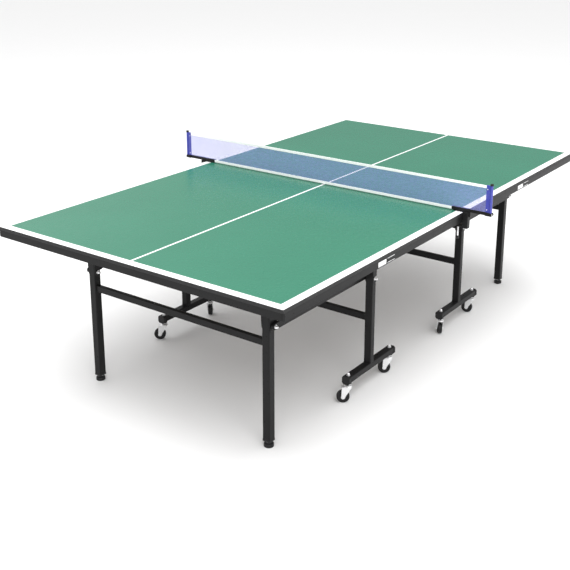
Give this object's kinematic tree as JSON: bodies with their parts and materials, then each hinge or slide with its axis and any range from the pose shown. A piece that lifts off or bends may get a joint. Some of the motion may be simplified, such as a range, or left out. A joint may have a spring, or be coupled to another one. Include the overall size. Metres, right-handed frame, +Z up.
{
  "type": "ping pong table",
  "caption": "Folding ping pong table: two green tops on wheeled frames, folding end legs with levelling feet, and a clamp-on net.",
  "frame": {"origin": "on the floor under the middle of the net", "axes": "+X along the table's length, +Y across it, +Z up"},
  "size_m": [2.74, 1.806, 0.906],
  "materials": {
    "playing_surface": "painted green board, satin",
    "black_frame": "satin black powder coat",
    "zinc": "bright zinc plate",
    "black_plastic": "moulded",
    "wheel_rubber": "smooth",
    "net_blue": "knotted nylon mesh",
    "post_blue": "blue gloss paint"
  },
  "bodies": {
    "near_trolley": {"near_undercarriage_crossbar": "black_frame", "near_left_wheel_post": "black_frame", "near_left_wheel_beam": "black_frame", "near_right_wheel_post": "black_frame", "near_right_wheel_beam": "black_frame"},
    "near_top": {"near_tabletop": "playing_surface", "near_apron_frame": "black_frame", "near_left_leg_bracket": "black_frame", "near_left_post_bracket": "black_frame", "near_right_leg_bracket": "black_frame", "near_right_post_bracket": "black_frame"},
    "near_end_legs": {"near_outer_crossbar": "black_frame", "near_left_outer_leg": "black_frame", "near_right_outer_leg": "black_frame"},
    "near_left_foot": {"near_left_leveling_foot": "black_plastic"},
    "near_left_link": {"near_left_leg_link": "black_frame"},
    "near_left_outer_caster": {"near_left_outer_caster_fork": "zinc"},
    "near_left_outer_wheel": {"near_left_outer_caster_wheel": "wheel_rubber"},
    "near_left_inner_caster": {"near_left_inner_caster_fork": "zinc"},
    "near_left_inner_wheel": {"near_left_inner_caster_wheel": "wheel_rubber"},
    "near_right_foot": {"near_right_leveling_foot": "black_plastic"},
    "near_right_link": {"near_right_leg_link": "black_frame"},
    "near_right_outer_caster": {"near_right_outer_caster_fork": "zinc"},
    "near_right_outer_wheel": {"near_right_outer_caster_wheel": "wheel_rubber"},
    "near_right_inner_caster": {"near_right_inner_caster_fork": "zinc"},
    "near_right_inner_wheel": {"near_right_inner_caster_wheel": "wheel_rubber"},
    "far_trolley": {"far_undercarriage_crossbar": "black_frame", "far_left_wheel_post": "black_frame", "far_left_wheel_beam": "black_frame", "far_right_wheel_post": "black_frame", "far_right_wheel_beam": "black_frame"},
    "far_top": {"far_tabletop": "playing_surface", "far_apron_frame": "black_frame", "far_left_leg_bracket": "black_frame", "far_left_post_bracket": "black_frame", "far_right_leg_bracket": "black_frame", "far_right_post_bracket": "black_frame", "net_mesh": "net_blue", "left_net_post": "post_blue", "left_net_clamp_arm": "black_frame", "right_net_post": "post_blue", "right_net_clamp_arm": "black_frame"},
    "far_end_legs": {"far_outer_crossbar": "black_frame", "far_left_outer_leg": "black_frame", "far_right_outer_leg": "black_frame"},
    "far_left_foot": {"far_left_leveling_foot": "black_plastic"},
    "far_left_link": {"far_left_leg_link": "black_frame"},
    "far_left_outer_caster": {"far_left_outer_caster_fork": "zinc"},
    "far_left_outer_wheel": {"far_left_outer_caster_wheel": "wheel_rubber"},
    "far_left_inner_caster": {"far_left_inner_caster_fork": "zinc"},
    "far_left_inner_wheel": {"far_left_inner_caster_wheel": "wheel_rubber"},
    "far_right_foot": {"far_right_leveling_foot": "black_plastic"},
    "far_right_link": {"far_right_leg_link": "black_frame"},
    "far_right_outer_caster": {"far_right_outer_caster_fork": "zinc"},
    "far_right_outer_wheel": {"far_right_outer_caster_wheel": "wheel_rubber"},
    "far_right_inner_caster": {"far_right_inner_caster_fork": "zinc"},
    "far_right_inner_wheel": {"far_right_inner_caster_wheel": "wheel_rubber"},
    "left_screw": {"left_clamp_screw": "zinc"},
    "right_screw": {"right_clamp_screw": "zinc"}
  },
  "joints": [
    {"name": "far_roll", "type": "slide", "parent": "near_trolley", "child": "far_trolley", "axis": [1, 0, 0], "range_m": [0, 0.315]},
    {"name": "near_tilt", "type": "hinge", "parent": "near_trolley", "child": "near_top", "pos_m": [-0.43, 0, 0.72], "axis": [0, 1, 0], "range_deg": [0, 90]},
    {"name": "near_leg_fold", "type": "hinge", "parent": "near_top", "child": "near_end_legs", "pos_m": [-1.09, 0, 0.72], "axis": [0, -1, 0], "range_deg": [0, 90]},
    {"name": "near_left_link_swing", "type": "hinge", "parent": "near_trolley", "child": "near_left_link", "pos_m": [-0.43, 0, 0.53], "axis": [0, 1, 0], "range_deg": [0, 90]},
    {"name": "near_left_foot_screw", "type": "slide", "parent": "near_end_legs", "child": "near_left_foot", "axis": [0, 0, -1], "range_m": [0, 0.015]},
    {"name": "near_left_outer_swivel", "type": "hinge", "parent": "near_trolley", "child": "near_left_outer_caster", "pos_m": [-0.598, 0.545, 0.08], "axis": [0, 0, 1], "continuous": true},
    {"name": "near_left_outer_spin", "type": "hinge", "parent": "near_left_outer_caster", "child": "near_left_outer_wheel", "pos_m": [-0.61093, 0.5628, 0.029], "axis": [-0.809, -0.5878, 0], "continuous": true},
    {"name": "near_left_inner_swivel", "type": "hinge", "parent": "near_trolley", "child": "near_left_inner_caster", "pos_m": [-0.248, 0.545, 0.08], "axis": [0, 0, 1], "continuous": true},
    {"name": "near_left_inner_spin", "type": "hinge", "parent": "near_left_inner_caster", "child": "near_left_inner_wheel", "pos_m": [-0.2302, 0.55793, 0.029], "axis": [-0.5878, 0.809, 0], "continuous": true},
    {"name": "near_right_link_swing", "type": "hinge", "parent": "near_trolley", "child": "near_right_link", "pos_m": [-0.43, 0, 0.53], "axis": [0, 1, 0], "range_deg": [0, 90]},
    {"name": "near_right_foot_screw", "type": "slide", "parent": "near_end_legs", "child": "near_right_foot", "axis": [0, 0, -1], "range_m": [0, 0.015]},
    {"name": "near_right_outer_swivel", "type": "hinge", "parent": "near_trolley", "child": "near_right_outer_caster", "pos_m": [-0.598, -0.545, 0.08], "axis": [0, 0, 1], "continuous": true},
    {"name": "near_right_outer_spin", "type": "hinge", "parent": "near_right_outer_caster", "child": "near_right_outer_wheel", "pos_m": [-0.61093, -0.5272, 0.029], "axis": [-0.809, -0.5878, 0], "continuous": true},
    {"name": "near_right_inner_swivel", "type": "hinge", "parent": "near_trolley", "child": "near_right_inner_caster", "pos_m": [-0.248, -0.545, 0.08], "axis": [0, 0, 1], "continuous": true},
    {"name": "near_right_inner_spin", "type": "hinge", "parent": "near_right_inner_caster", "child": "near_right_inner_wheel", "pos_m": [-0.26093, -0.5272, 0.029], "axis": [-0.809, -0.5878, 0], "continuous": true},
    {"name": "far_tilt", "type": "hinge", "parent": "far_trolley", "child": "far_top", "pos_m": [0.43, 0, 0.72], "axis": [0, -1, 0], "range_deg": [0, 90]},
    {"name": "far_leg_fold", "type": "hinge", "parent": "far_top", "child": "far_end_legs", "pos_m": [1.09, 0, 0.72], "axis": [0, 1, 0], "range_deg": [0, 90]},
    {"name": "far_left_link_swing", "type": "hinge", "parent": "far_trolley", "child": "far_left_link", "pos_m": [0.43, 0, 0.53], "axis": [0, -1, 0], "range_deg": [0, 90]},
    {"name": "far_left_foot_screw", "type": "slide", "parent": "far_end_legs", "child": "far_left_foot", "axis": [0, 0, -1], "range_m": [0, 0.015]},
    {"name": "far_left_outer_swivel", "type": "hinge", "parent": "far_trolley", "child": "far_left_outer_caster", "pos_m": [0.612, 0.545, 0.08], "axis": [0, 0, 1], "continuous": true},
    {"name": "far_left_outer_spin", "type": "hinge", "parent": "far_left_outer_caster", "child": "far_left_outer_wheel", "pos_m": [0.59295, 0.556, 0.029], "axis": [-0.5, -0.866, 0], "continuous": true},
    {"name": "far_left_inner_swivel", "type": "hinge", "parent": "far_trolley", "child": "far_left_inner_caster", "pos_m": [0.262, 0.545, 0.08], "axis": [0, 0, 1], "continuous": true},
    {"name": "far_left_inner_spin", "type": "hinge", "parent": "far_left_inner_caster", "child": "far_left_inner_wheel", "pos_m": [0.24907, 0.5628, 0.029], "axis": [-0.809, -0.5878, 0], "continuous": true},
    {"name": "far_right_link_swing", "type": "hinge", "parent": "far_trolley", "child": "far_right_link", "pos_m": [0.43, 0, 0.53], "axis": [0, -1, 0], "range_deg": [0, 90]},
    {"name": "far_right_foot_screw", "type": "slide", "parent": "far_end_legs", "child": "far_right_foot", "axis": [0, 0, -1], "range_m": [0, 0.015]},
    {"name": "far_right_outer_swivel", "type": "hinge", "parent": "far_trolley", "child": "far_right_outer_caster", "pos_m": [0.612, -0.545, 0.08], "axis": [0, 0, 1], "continuous": true},
    {"name": "far_right_outer_spin", "type": "hinge", "parent": "far_right_outer_caster", "child": "far_right_outer_wheel", "pos_m": [0.60818, -0.52333, 0.029], "axis": [-0.9848, -0.1736, 0], "continuous": true},
    {"name": "far_right_inner_swivel", "type": "hinge", "parent": "far_trolley", "child": "far_right_inner_caster", "pos_m": [0.262, -0.545, 0.08], "axis": [0, 0, 1], "continuous": true},
    {"name": "far_right_inner_spin", "type": "hinge", "parent": "far_right_inner_caster", "child": "far_right_inner_wheel", "pos_m": [0.2798, -0.53207, 0.029], "axis": [-0.5878, 0.809, 0], "continuous": true},
    {"name": "left_clamp", "type": "slide", "parent": "far_top", "child": "left_screw", "axis": [0, 0, -1], "range_m": [0, 0.012]},
    {"name": "right_clamp", "type": "slide", "parent": "far_top", "child": "right_screw", "axis": [0, 0, -1], "range_m": [0, 0.012]}
  ],
  "couplings": [
    {"joint": "far_roll", "follows": "far_tilt", "m_per_rad": 0.2},
    {"joint": "near_leg_fold", "follows": "near_tilt", "ratio": 1},
    {"joint": "far_leg_fold", "follows": "far_tilt", "ratio": 1},
    {"joint": "near_left_link_swing", "follows": "near_tilt", "ratio": 1},
    {"joint": "near_right_link_swing", "follows": "near_tilt", "ratio": 1},
    {"joint": "far_left_link_swing", "follows": "far_tilt", "ratio": 1},
    {"joint": "far_right_link_swing", "follows": "far_tilt", "ratio": 1}
  ]
}
